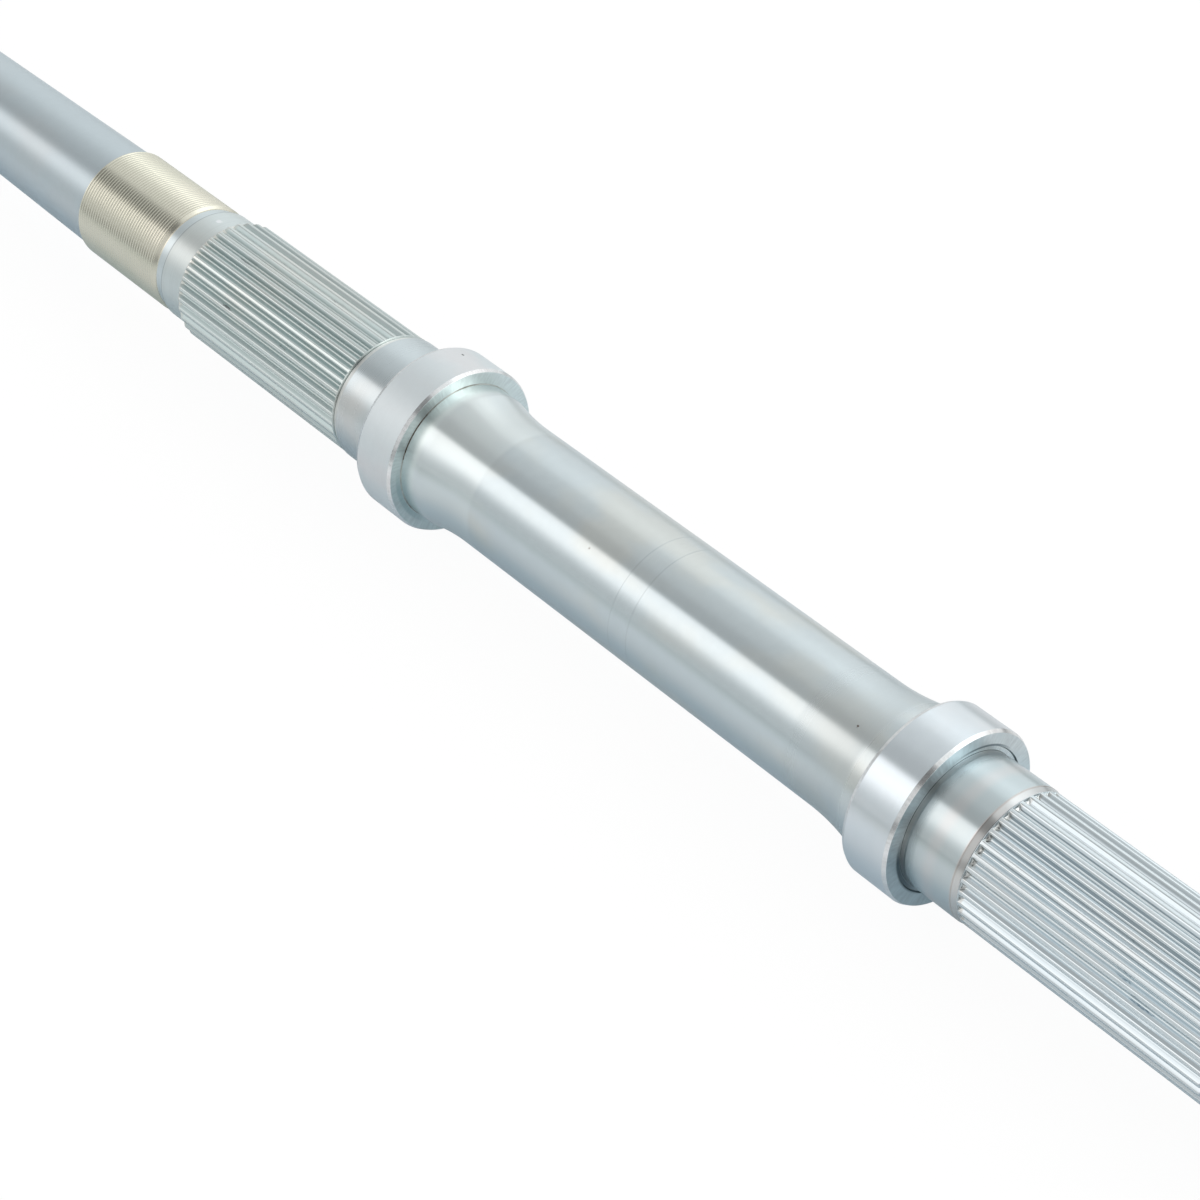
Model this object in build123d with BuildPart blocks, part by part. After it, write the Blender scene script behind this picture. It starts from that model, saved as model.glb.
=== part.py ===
"""Rear axle shaft, turned and splined from one bar. Millimetres; the axis of the shaft is X.

The origin is on the axis, half way between the two collars. A bearing slides onto the journal outside
each collar, a hub drives on each spline, and nuts on the thread clamp what sits on the left spline.
Both halves are alike from the middle out to the end of the spline, so they share one outline.
"""
from build123d import *
from math import acos, cos, degrees, pi, radians, sin, tan
import os

# ---- overall ----
shaft_length = 850.0            # over both end faces
body_diameter = 34.0            # parallel body between the collars

# ---- collars ----
shoulder_span = 186.5           # between the outer collar faces, which the bearings butt against
collar_diameter = 45.0
collar_width = 13.6
collar_chamfer_length = 1.0
collar_chamfer_height = 0.5
inner_face_dish = 0.5           # how far the inner collar face leans back towards the body

# ---- flare from the body up to each collar ----
flare_rise = 1.45               # from the body up to the band beside the collar
flare_band_length = 5.3
flare_arc_radius = 60.0

# ---- bearing journals ----
journal_diameter = 35.0
journal_length = 14.5           # from the collar face to the start of the neck
undercut_depth = 0.5            # grinding undercut, into the collar face at the foot of the journal
undercut_height = 1.2           # how far it climbs the collar face
undercut_wall_rise = 0.2        # the wall between the face and the floor of the undercut leans by this
undercut_journal_depth = 0.3    # the same undercut runs on along the journal, less deep
undercut_length = 1.1
undercut_slope = 0.4            # length of the slope from the undercut up to the journal
neck_depth = 0.6                # turned neck between journal and spline, below the journal
neck_cone_length = 1.6
neck_wall_length = 0.3

# ---- splines: involute teeth, as many as still let the bearing pass over them ----
spline_module = 1.0
spline_pressure_angle = 37.5
spline_addendum = 0.3
spline_dedendum = 0.9
spline_space_width = 1.75       # between two teeth, on the pitch circle
spline_length = 67.35           # of the full diameter, without the 45 degree chamfer
bearing_clearance = 0.2         # between the teeth and the bore of the bearing, all round
runout_land = 0.15              # full diameter left standing at the inner end of the tooth spaces
runout_clearance = 0.2          # the tooth spaces climb out in an arc centred this far above the teeth
left_spline_turn = 2.9          # from the top of the shaft to the nearest tooth space, in degrees
right_spline_turn = 4.8

# ---- seat and nut thread, on the left only ----
seat_depth = 0.1                # plain seat between spline and thread, below the tooth spaces
seat_length = 8.5
thread_allowance = 0.1          # how far the thread's crests lie below the seat
thread_length = 35.0
thread_end_chamfer = 0.8
thread_relief_depth = 0.7       # below the thread's crests
thread_relief_length = 2.4
thread_relief_slope = 1.3       # length of the slope from the relief up to the thread
relief_step_length = 0.8        # length of the slope from the seat down into the relief

# ---- tapered ends ----
taper_depth = 0.3               # where the cone starts, below the seat
taper_end_diameter = 25.0
end_seat_length = 18.0          # parallel end, with its chamfer
end_chamfer = 1.5
centre_hole_diameter = 5.0      # 60 degree lathe centre in each end face

# ---- radii that follow ----
body_radius = body_diameter / 2
collar_radius = collar_diameter / 2
journal_radius = journal_diameter / 2
undercut_top_radius = journal_radius + undercut_height
undercut_floor_radius = journal_radius - undercut_journal_depth
room_for_teeth = journal_diameter - 2 * bearing_clearance - 2 * spline_addendum
spline_teeth = int(room_for_teeth / spline_module + 1e-6)
pitch_radius = spline_module * spline_teeth / 2
spline_radius = pitch_radius + spline_addendum
root_radius = pitch_radius - spline_dedendum
seat_radius = root_radius - seat_depth
thread_radius = seat_radius - thread_allowance
relief_radius = thread_radius - thread_relief_depth
taper_radius = seat_radius - taper_depth
taper_end_radius = taper_end_diameter / 2
centre_hole_radius = centre_hole_diameter / 2
centre_hole_depth = centre_hole_radius / tan(radians(30))

# ---- stations along one half, from the middle out ----
shoulder_x = shoulder_span / 2
collar_x = shoulder_x - collar_width
flare_angle = acos(1 - flare_rise / flare_arc_radius)
flare_x = collar_x - flare_band_length - flare_arc_radius * sin(flare_angle)
neck_x = shoulder_x + journal_length
neck_wall_x = neck_x + neck_cone_length
spline_x = neck_wall_x + neck_wall_length
spline_end_x = spline_x + spline_length
taper_x = spline_end_x + spline_radius - taper_radius
end_x = shaft_length / 2
taper_end_x = end_x - end_seat_length

# ---- stations of the seat and the thread ----
seat_x = spline_end_x + spline_radius - seat_radius
relief_step_x = seat_x + seat_length
relief_x = relief_step_x + relief_step_length
relief_end_x = relief_x + thread_relief_length
thread_x = relief_end_x + thread_relief_slope
thread_end_x = thread_x + thread_length
cone_x = thread_end_x + thread_end_chamfer
cone_share = (cone_x - taper_x) / (taper_end_x - taper_x)
cone_radius = taper_radius + cone_share * (taper_end_radius - taper_radius)


def involute(radius):
    """Involute function of the pressure angle that a flank has at a radius."""
    angle = acos(pitch_radius * cos(radians(spline_pressure_angle)) / radius)
    return tan(angle) - angle


def flank_point(radius, side):
    """Point at a radius on one flank of the tooth space that is centred on +Y."""
    half_angle = spline_space_width / 2 / pitch_radius + involute(radius) - involute(pitch_radius)
    return radius * sin(side * half_angle), radius * cos(half_angle)


# ---- one tooth space, drawn about Z and extruded along it, for the polar patterns ----
runout_axis_radius = spline_radius + runout_clearance
runout_radius = runout_axis_radius - root_radius
runout_length = (runout_radius**2 - runout_clearance**2) ** 0.5
space_floor_x = spline_x + runout_land + runout_length
flank_radii = (root_radius, pitch_radius, spline_radius + runout_clearance / 2)

with BuildPart() as tooth_space:
    with BuildSketch(Plane.XY.offset(space_floor_x)) as space_section:
        with BuildLine():
            left_flank = ThreePointArc([flank_point(radius, -1) for radius in flank_radii])
            right_flank = ThreePointArc([flank_point(radius, 1) for radius in flank_radii])
            Line(left_flank @ 0, right_flank @ 0)
            Line(left_flank @ 1, right_flank @ 1)
        make_face()
    extrude(amount=taper_x + runout_radius - space_floor_x)
    runout_axis = Axis((0, runout_axis_radius, space_floor_x), (1, 0, 0))
    revolve(space_section.sketch, axis=runout_axis, revolution_arc=90)

# ---- the shaft ----
with BuildPart(Plane.YZ) as splined_shaft:
    with BuildSketch(Plane.XY):
        with BuildLine():
            # the shared outline of one half, from the body to the end of the spline
            Line((0, body_radius), (flare_x, body_radius))
            flare = JernArc((flare_x, body_radius), (1, 0), flare_arc_radius, degrees(flare_angle))
            Polyline(
                flare @ 1,
                (collar_x + inner_face_dish, body_radius + flare_rise),
                (collar_x, collar_radius - collar_chamfer_height),
                (collar_x + collar_chamfer_length, collar_radius),
                (shoulder_x - collar_chamfer_length, collar_radius),
                (shoulder_x, collar_radius - collar_chamfer_height),
                (shoulder_x, undercut_top_radius),
                (shoulder_x - undercut_depth, undercut_top_radius - undercut_wall_rise),
                (shoulder_x - undercut_depth, undercut_floor_radius),
                (shoulder_x + undercut_length - undercut_slope, undercut_floor_radius),
                (shoulder_x + undercut_length, journal_radius),
                (neck_x, journal_radius),
                (neck_wall_x, journal_radius - neck_depth),
                (spline_x, spline_radius),
                (spline_end_x, spline_radius),
            )
            mirror(about=Plane.YZ)
            # right end: the cone starts at the foot of the spline's chamfer
            Polyline(
                (spline_end_x, spline_radius),
                (taper_x, taper_radius),
                (taper_end_x, taper_end_radius),
                (end_x - end_chamfer, taper_end_radius),
                (end_x, taper_end_radius - end_chamfer),
                (end_x, centre_hole_radius),
                (end_x - centre_hole_depth, 0),
                (0, 0),
            )
            # left end: seat, relief and thread, then the same cone
            Polyline(
                (-spline_end_x, spline_radius),
                (-seat_x, seat_radius),
                (-relief_step_x, seat_radius),
                (-relief_x, relief_radius),
                (-relief_end_x, relief_radius),
                (-thread_x, thread_radius),
                (-thread_end_x, thread_radius),
                (-cone_x, cone_radius),
                (-taper_end_x, taper_end_radius),
                (end_chamfer - end_x, taper_end_radius),
                (-end_x, taper_end_radius - end_chamfer),
                (-end_x, centre_hole_radius),
                (centre_hole_depth - end_x, 0),
                (0, 0),
            )
        make_face()
    revolve(axis=Axis.X)
    with PolarLocations(0, spline_teeth, start_angle=right_spline_turn):
        add(tooth_space.part, mode=Mode.SUBTRACT)
    with PolarLocations(0, spline_teeth, start_angle=left_spline_turn):
        add(mirror(tooth_space.part, about=Plane.XY, mode=Mode.PRIVATE), mode=Mode.SUBTRACT)

splined_shaft.part.label = "splined_shaft"
os.makedirs("parts", exist_ok=True)
export_step(splined_shaft.part, "parts/splined_shaft.step")
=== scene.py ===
"""Splined axle shaft in zinc plated steel: the looks of one turned and splined bar.

The axis of the shaft is X and the origin is half way between the two collars. Shapes are worked out in
millimetres and put into the meshes in metres. Every piece is a closed skin of rings round the axis.
"""
import math

import bpy
import numpy as np
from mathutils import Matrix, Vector


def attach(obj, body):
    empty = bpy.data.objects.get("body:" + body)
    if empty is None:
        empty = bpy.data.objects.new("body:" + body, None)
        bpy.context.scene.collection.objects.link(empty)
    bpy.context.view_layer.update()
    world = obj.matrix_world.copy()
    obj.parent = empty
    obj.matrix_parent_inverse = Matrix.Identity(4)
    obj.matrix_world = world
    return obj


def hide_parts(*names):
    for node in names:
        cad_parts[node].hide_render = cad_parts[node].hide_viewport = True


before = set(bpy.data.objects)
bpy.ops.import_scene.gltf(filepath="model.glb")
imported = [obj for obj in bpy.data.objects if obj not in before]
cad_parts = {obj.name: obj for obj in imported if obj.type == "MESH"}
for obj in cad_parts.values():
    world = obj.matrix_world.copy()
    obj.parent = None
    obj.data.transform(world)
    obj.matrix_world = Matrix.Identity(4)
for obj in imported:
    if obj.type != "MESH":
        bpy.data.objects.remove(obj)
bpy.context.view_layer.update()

MM = 0.001

# ---- turned sizes, in millimetres, as in the part's source, but for the floor of the undercut ----
BODY_R, COLLAR_R, JOURNAL_R = 17.0, 22.5, 17.5
SPLINE_R, PITCH_R, ROOT_R = 17.3, 17.0, 16.1
SEAT_R, THREAD_R, RELIEF_R, TAPER_R, END_R = 16.0, 15.9, 15.2, 15.7, 12.5
FLARE_RISE, FLARE_ARC, FLARE_BAND = 1.45, 60.0, 5.3
UNDERCUT_TOP_R, UNDERCUT_R = 18.7, 17.38  # the floor is shallower than the solid's, which has 17.2
UNDERCUT_DEEP, FACE_DISH, CHAMFER_LONG, CHAMFER_HIGH = 0.5, 0.5, 1.0, 0.5
COLLAR_X, SHOULDER_X, NECK_X = 79.65, 93.25, 107.75
NECK_FOOT_X, SPLINE_X, SPLINE_END_X = 109.35, 109.65, 177.0
END_X, TAPER_END_X, TAPER_X = 425.0, 407.0, 178.6
SEAT_X, RELIEF_X, THREAD_FOOT_R, THREAD_END_X = 178.3, 190.0, 15.02, 227.1
END_CHAMFER, CENTRE_R = 1.5, 2.5

# ---- splines and thread ----
TEETH, PRESSURE_ANGLE, SPACE_WIDTH = 34, 37.5, 1.75
LEFT_TURN, RIGHT_TURN = 2.9, 4.8
RUNOUT_LAND, RUNOUT_LIFT = 0.15, 0.2
TOOTH_FILLET, TOOTH_ROUND = 0.14, 0.27
LOW_TOOTH = 0.3  # teeth lower than this are finished as land all over
THREAD_FROM_X, THREAD_TO_X = 191.3, 226.3
THREAD_PITCH, THREAD_DEPTH = 1.0, 0.24

# ---- spacing of points ----
SUPPORT = 0.12
AROUND_CENTRE, AROUND_ENDS, PER_PITCH = 288, 192, 8


# ------------------------------------------------------------------ meshes

def add_piece(name, verts, faces, materials, face_material=None, masks=None):
    """A mesh object at the origin from points in millimetres, smooth shaded, riding on the shaft's body."""
    mesh = bpy.data.meshes.new(name)
    mesh.from_pydata((verts * MM).tolist(), [], faces)
    for material in materials:
        mesh.materials.append(material)
    if face_material is not None:
        mesh.polygons.foreach_set("material_index", face_material.astype(np.int32))
    mesh.polygons.foreach_set("use_smooth", np.ones(len(mesh.polygons), bool))
    for label, values in (masks or {}).items():
        layer = mesh.attributes.new(label, "FLOAT", "POINT")
        layer.data.foreach_set("value", values.astype(np.float32))
    mesh.set_sharp_from_angle(angle=math.radians(50))
    mesh.validate()
    mesh.update()
    piece = bpy.data.objects.new(name, mesh)
    bpy.context.scene.collection.objects.link(piece)
    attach(piece, "root")
    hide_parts("splined_shaft")
    return piece


def ring_skin(name, x, radius, angle, materials, ring_material=None, masks=None, pole_low=None,
              pole_high=None):
    """Closed skin of n rings of m points.

    Point (i, j) is (x[i, j], radius[i, j] cos angle[i, j], radius[i, j] sin angle[i, j]), with x growing
    with i and the angle growing with j. Neighbouring rings are joined by quads, and each end is closed by
    a fan of triangles to one point on the axis.
    """
    n, m = radius.shape
    verts = np.stack([x, radius * np.cos(angle), radius * np.sin(angle)], axis=-1).reshape(-1, 3)
    low = x[0, 0] if pole_low is None else pole_low
    high = x[-1, 0] if pole_high is None else pole_high
    verts = np.concatenate([verts, [[low, 0.0, 0.0], [high, 0.0, 0.0]]])
    i, j = np.meshgrid(np.arange(n - 1), np.arange(m), indexing="ij")
    k = (j + 1) % m
    quads = np.stack([i * m + j, i * m + k, (i + 1) * m + k, (i + 1) * m + j], axis=-1).reshape(-1, 4)
    j, k = np.arange(m), (np.arange(m) + 1) % m
    low_fan = np.stack([np.full(m, n * m), k, j], axis=-1)
    high_fan = np.stack([np.full(m, n * m + 1), (n - 1) * m + j, (n - 1) * m + k], axis=-1)
    faces = quads.tolist() + low_fan.tolist() + high_fan.tolist()
    face_material = None
    if ring_material is not None:
        rows = np.repeat(np.asarray(ring_material)[:-1], m)
        face_material = np.concatenate([rows, np.full(m, ring_material[0]), np.full(m, ring_material[-1])])
    masks = {label: np.append(np.broadcast_to(values, (n, m)).reshape(-1), [0.0, 0.0])
             for label, values in (masks or {}).items()}
    return add_piece(name, verts, faces, materials, face_material, masks)


def rounded(corners, steps=5):
    """Outline through corners (x, r, rounding radius), as arrays x and r.

    A rounded corner becomes an arc tangent to both its sides. It leaves each side at the radius times the
    tangent of half the turn, and at most at 0.42 of the side. A support point follows on each side, so
    that smooth shading stays flat beyond the arc, no further away than a twentieth of the side.
    """
    p = np.array([c[:2] for c in corners], float)
    out = [tuple(p[0])]
    for k in range(1, len(p) - 1):
        before, after = p[k - 1] - p[k], p[k + 1] - p[k]
        lb, la = np.hypot(*before), np.hypot(*after)
        ub, ua = before / lb, after / la
        turn = math.pi - math.acos(float(np.clip(ub @ ua, -1, 1)))
        if corners[k][2] <= 0 or turn < 0.02:
            out.append(tuple(p[k]))
            continue
        cut = min(corners[k][2] * math.tan(turn / 2), 0.42 * lb, 0.42 * la)
        foot_b, foot_a = p[k] + ub * cut, p[k] + ua * cut
        out.append(tuple(foot_b + ub * min(SUPPORT, 0.05 * lb)))
        t = np.linspace(0, 1, steps)[:, None]
        weight = math.cos(turn / 2)
        base = (1 - t) ** 2 + 2 * t * (1 - t) * weight + t**2
        arc = ((1 - t) ** 2 * foot_b + 2 * t * (1 - t) * weight * p[k] + t**2 * foot_a) / base
        out += [tuple(point) for point in arc]
        out.append(tuple(foot_a + ua * min(SUPPORT, 0.05 * la)))
    out.append(tuple(p[-1]))
    table = np.array(out)
    return table[:, 0], table[:, 1]


def turned(name, outline, materials, zone=None, around=AROUND_CENTRE, pole_low=None, pole_high=None):
    """Surface of revolution: the outline r(x) carried round the axis in equal steps of angle."""
    x, r = outline
    angle = np.broadcast_to(np.linspace(0, 2 * np.pi, around, endpoint=False), (len(x), around))
    zones = None if zone is None else zone(x, r)
    return ring_skin(name, np.repeat(x[:, None], around, 1), np.repeat(r[:, None], around, 1), angle,
                     materials, zones, None, pole_low, pole_high)


# ------------------------------------------------------------------ shape of the spline

def involute(radius):
    """Involute function tan a - a of the pressure angle a that a flank has at a radius."""
    a = np.arccos(PITCH_R * math.cos(math.radians(PRESSURE_ANGLE)) / radius)
    return np.tan(a) - a


def space_half_angle(radius):
    """Half the angle that a tooth space spans at a radius."""
    return SPACE_WIDTH / 2 / PITCH_R + involute(radius) - involute(PITCH_R)


def bezier(a, corner, b, t):
    """Point at t on the parabola that leaves a and reaches b, tangent to the two sides of the corner."""
    return [(1 - t) ** 2 * p + 2 * t * (1 - t) * c + t**2 * q for p, c, q in zip(a, corner, b)]


def spline_ring(floor, top):
    """Angle, radius and masks of half a pitch, from the middle of a tooth space to the middle of a land.

    floor and top are the radii of the space's floor and of the land at each station. The flank is the
    involute between them. The floor runs into it through a small fillet, and the flank into the land
    through a rounded edge. Each is a short parabola that touches both sides. The masks mark the rounded
    edge, the land and the flank.
    """
    depth = top - floor
    b = np.minimum(TOOTH_FILLET, 0.25 * depth)
    a = np.minimum(TOOTH_ROUND, 0.25 * depth)
    foot = space_half_angle(floor)
    head = space_half_angle(top)
    half_pitch = np.pi / TEETH
    tables = [[], [], [], [], []]

    def put(angle, radius, rounded_edge=0.0, land=0.0, flank=0.0):
        for table, value in zip(tables, (angle, radius, rounded_edge, land, flank)):
            table.append(np.broadcast_to(value, floor.shape))

    put(np.zeros_like(floor), floor)
    q0, q1 = (foot - b / floor, floor), (space_half_angle(floor + b), floor + b)
    put(q0[0] * 0.8, floor)
    for t in (0.0, 0.5, 1.0):
        put(*bezier(q0, (foot, floor), q1, t), flank=t)
    lower, upper = floor + b, top - a
    for t in (0.15, 0.5, 0.85):
        r = lower + (upper - lower) * t
        put(space_half_angle(r), r, flank=1.0)
    p0, p1 = (space_half_angle(upper), upper), (head + a / top, top)
    for t in (0.0, 0.25, 0.5, 0.75, 1.0):
        put(*bezier(p0, (head, top), p1, t), rounded_edge=1.0, land=t**2, flank=1 - t)
    land = half_pitch - p1[0]
    for t in (0.08, 0.5, 1.0):
        put(p1[0] + land * t, top, land=1.0)
    return [np.stack(table, 1) for table in tables]


def spline(name, side, turn, chamfer_foot, materials, end_rise=0.0):
    """One spline, from the foot of the neck to the foot of the end chamfer.

    At each station the top is the turned outline, and the floor is the root circle with a quarter-round
    run-out at the inner end: floor(x) = lift above the teeth - sqrt(R^2 - (x - x0)^2). Half a pitch is
    mirrored and repeated round the shaft. side is +1 for the right spline and -1 for the left one. Over
    its last 2 mm the floor climbs by end_rise, as the square of the way.
    """
    def end_floor(x):
        return ROOT_R + end_rise * np.clip((x - SPLINE_END_X + 1.0) / 2.0, 0, 1) ** 2

    x_top, r_top = rounded([
        (NECK_FOOT_X, ROOT_R + 0.4, 0), (SPLINE_X, SPLINE_R, 0.12), (SPLINE_END_X, SPLINE_R, 0.5),
        (SPLINE_END_X + SPLINE_R - chamfer_foot, chamfer_foot, 0)], steps=6)
    axis_r = SPLINE_R + RUNOUT_LIFT
    big = axis_r - ROOT_R
    centre = SPLINE_X + RUNOUT_LAND + math.sqrt(big**2 - RUNOUT_LIFT**2)
    beta = np.linspace(math.asin(RUNOUT_LIFT / big), math.pi / 2, 14)
    stations = np.unique(np.round(np.concatenate([
        x_top, centre - big * np.cos(beta), np.linspace(centre, SPLINE_END_X - 0.4, 16),
        np.linspace(SPLINE_END_X + 0.3, x_top[-1], 6)]), 4))
    top = np.interp(stations, x_top, r_top)
    inside = np.clip((centre - stations) / big, 0, 1)
    floor = np.where(stations < centre, axis_r - big * np.sqrt(1 - inside**2), ROOT_R)
    floor = np.minimum(np.maximum(floor, end_floor(stations)), top)
    half = spline_ring(floor, top)
    pitch = 2 * np.pi / TEETH
    mirrored = [pitch - half[0][:, -2:0:-1]] + [table[:, -2:0:-1] for table in half[1:]]
    ring_angle, ring_radius, rounded_edge, land, flank = [np.concatenate(pair, 1) for pair in zip(half, mirrored)]
    starts = np.arange(TEETH) * pitch + np.pi / 2 + math.radians(turn)
    angle = (starts[None, :, None] + ring_angle[:, None, :]).reshape(len(stations), -1)
    radius, rounded_edge, land, flank = (np.tile(table, (1, TEETH)) for table in (ring_radius, rounded_edge, land, flank))
    cut = (top - floor > LOW_TOOTH)[:, None]
    tables = [np.repeat(stations[:, None] * side, radius.shape[1], 1), radius, angle, rounded_edge * cut,
              np.where(cut, land, 1.0), flank * cut]
    if side < 0:
        tables = [table[::-1] for table in tables]
    x, radius, angle, rounded_edge, land, flank = tables
    return ring_skin(name, x, radius, angle, materials, None, {"edge": rounded_edge, "land": land, "flank": flank})


def thread(name, materials):
    """Fine right-hand thread between its relief and its end chamfer.

    r(x, angle) is the lower of the turned outline and crest - depth * (0.5 + 0.5 cos 2 pi f)^2, where f is
    the fraction of (x - pitch * angle / 2 pi) / pitch, so the groove climbs one pitch in each turn.
    """
    x_top, r_top = rounded([
        (-THREAD_END_X, THREAD_FOOT_R, 0), (-THREAD_TO_X, THREAD_R, 0.2), (-THREAD_FROM_X, THREAD_R, 0.15),
        (-RELIEF_X - 0.4, RELIEF_R, 0.15), (-RELIEF_X, RELIEF_R, 0)])
    fine = np.arange(-THREAD_TO_X, -THREAD_FROM_X, THREAD_PITCH / PER_PITCH)
    stations = np.unique(np.round(np.concatenate([x_top, fine]), 4))
    angle = np.linspace(0, 2 * np.pi, AROUND_ENDS, endpoint=False)
    x, phi = np.meshgrid(stations, angle, indexing="ij")
    wave = 0.5 + 0.5 * np.cos(2 * np.pi * (x / THREAD_PITCH - phi / (2 * np.pi)))
    cut = THREAD_R - THREAD_DEPTH * wave**2
    radius = np.minimum(np.interp(stations, x_top, r_top)[:, None], cut)
    return ring_skin(name, x, radius, phi, materials)


# ------------------------------------------------------------------ node helpers

def new_group(name, inputs, outputs):
    """A shader node group with named sockets, each given as (name, socket type, default)."""
    group = bpy.data.node_groups.new(name, "ShaderNodeTree")
    for label, kind, value in inputs:
        socket = group.interface.new_socket(label, in_out="INPUT", socket_type=kind)
        if value is not None:
            socket.default_value = value
    for label, kind in outputs:
        group.interface.new_socket(label, in_out="OUTPUT", socket_type=kind)
    return group, group.nodes.new("NodeGroupInput"), group.nodes.new("NodeGroupOutput")


def node(tree, kind, links=None, **settings):
    """A node with its settings, its inputs either linked to an output or set to a value."""
    made = tree.nodes.new(kind)
    for key, value in settings.items():
        setattr(made, key, value)
    for key, value in (links or {}).items():
        if isinstance(value, bpy.types.NodeSocket):
            tree.links.new(value, made.inputs[key])
        else:
            made.inputs[key].default_value = value
    return made


def calc(tree, operation, a, b=None, c=None, clamp=False):
    """Output of a Math node."""
    links = {k: v for k, v in ((0, a), (1, b), (2, c)) if v is not None}
    return node(tree, "ShaderNodeMath", links, operation=operation, use_clamp=clamp).outputs[0]


def spread(tree, value, low, high, to_low=0.0, to_high=1.0):
    """Value carried smoothly from the range low..high to the range to_low..to_high."""
    links = {"Value": value, "From Min": low, "From Max": high, "To Min": to_low, "To Max": to_high}
    return node(tree, "ShaderNodeMapRange", links, interpolation_type="SMOOTHSTEP").outputs["Result"]


def between(tree, value, start, full, fade, end):
    """Mask that is 1 from full to fade, and goes smoothly to 0 at start and at end."""
    return calc(tree, "MULTIPLY", spread(tree, value, start, full), spread(tree, value, end, fade))


def mix(tree, factor, a, b, mode="MIX"):
    """Output of a Mix node for colours."""
    made = node(tree, "ShaderNodeMix", None, data_type="RGBA", blend_type=mode)
    for socket, value in ((made.inputs[0], factor), (made.inputs[6], a), (made.inputs[7], b)):
        if isinstance(value, bpy.types.NodeSocket):
            tree.links.new(value, socket)
        else:
            socket.default_value = value
    return made.outputs[2]


def scaled(tree, vector, x, y, z, shift=(0.0, 0.0, 0.0)):
    """The vector times (x, y, z), plus a shift."""
    return node(tree, "ShaderNodeVectorMath", {0: vector, 1: (x, y, z), 2: shift},
                operation="MULTIPLY_ADD").outputs[0]


def noise(tree, vector, detail=2.0, roughness=0.5):
    """Noise value with the scale already in the vector."""
    return node(tree, "ShaderNodeTexNoise", {"Vector": vector, "Scale": 1.0, "Detail": detail,
                                             "Roughness": roughness}, noise_dimensions="3D").outputs[0]


# ------------------------------------------------------------------ shared effects

def plate_colour_group():
    """Zinc plate: cool grey that drifts to straw in soft patches, with a faint fine mottle."""
    g, gin, gout = new_group("zinc plate colour", [
        ("Vector", "NodeSocketVector", None), ("Cool", "NodeSocketColor", (0.6, 0.65, 0.67, 1)),
        ("Warm", "NodeSocketColor", (0.66, 0.64, 0.6, 1)), ("Patch", "NodeSocketFloat", 0.5),
        ("Mottle", "NodeSocketFloat", 0.06)], [("Color", "NodeSocketColor")])
    patch = noise(g, scaled(g, gin.outputs["Vector"], 38, 70, 70, (3.1, 0.4, 7.7)), 2.0)
    fine = noise(g, scaled(g, gin.outputs["Vector"], 420, 420, 420, (0.3, 5.1, 1.2)), 3.0, 0.6)
    share = calc(g, "MULTIPLY", spread(g, patch, 0.42, 0.68), gin.outputs["Patch"])
    colour = mix(g, share, gin.outputs["Cool"], gin.outputs["Warm"])
    swing = calc(g, "MULTIPLY", calc(g, "SUBTRACT", fine, 0.5), gin.outputs["Mottle"])
    level = calc(g, "ADD", swing, 1.0)
    grey = node(g, "ShaderNodeCombineColor", {0: level, 1: level, 2: level}).outputs[0]
    g.links.new(mix(g, 1.0, colour, grey, "MULTIPLY"), gout.inputs["Color"])
    return g


def turning_marks_group():
    """Rings left by the turning tool: noise that changes fast along the axis and slowly round it."""
    g, gin, gout = new_group("turning marks", [
        ("Vector", "NodeSocketVector", None), ("Per Metre", "NodeSocketFloat", 3000.0),
        ("Wander", "NodeSocketFloat", 25.0)], [("Height", "NodeSocketFloat")])
    axis = node(g, "ShaderNodeSeparateXYZ", {0: gin.outputs["Vector"]})
    along = calc(g, "MULTIPLY", axis.outputs[0], gin.outputs["Per Metre"])
    y = calc(g, "MULTIPLY", axis.outputs[1], gin.outputs["Wander"])
    z = calc(g, "MULTIPLY", axis.outputs[2], gin.outputs["Wander"])
    vector = node(g, "ShaderNodeCombineXYZ", {0: along, 1: y, 2: z}).outputs[0]
    g.links.new(noise(g, vector, 3.0, 0.65), gout.inputs["Height"])
    return g


def drawn_marks_group():
    """Marks that run along the teeth: noise that changes fast round the axis and slowly along it."""
    g, gin, gout = new_group("drawn marks", [
        ("Vector", "NodeSocketVector", None), ("Per Metre", "NodeSocketFloat", 2500.0),
        ("Along", "NodeSocketFloat", 60.0)], [("Height", "NodeSocketFloat")])
    axis = node(g, "ShaderNodeSeparateXYZ", {0: gin.outputs["Vector"]})
    x = calc(g, "MULTIPLY", axis.outputs[0], gin.outputs["Along"])
    y = calc(g, "MULTIPLY", axis.outputs[1], gin.outputs["Per Metre"])
    z = calc(g, "MULTIPLY", axis.outputs[2], gin.outputs["Per Metre"])
    vector = node(g, "ShaderNodeCombineXYZ", {0: x, 1: y, 2: z}).outputs[0]
    g.links.new(noise(g, vector, 3.0, 0.6), gout.inputs["Height"])
    return g


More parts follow.
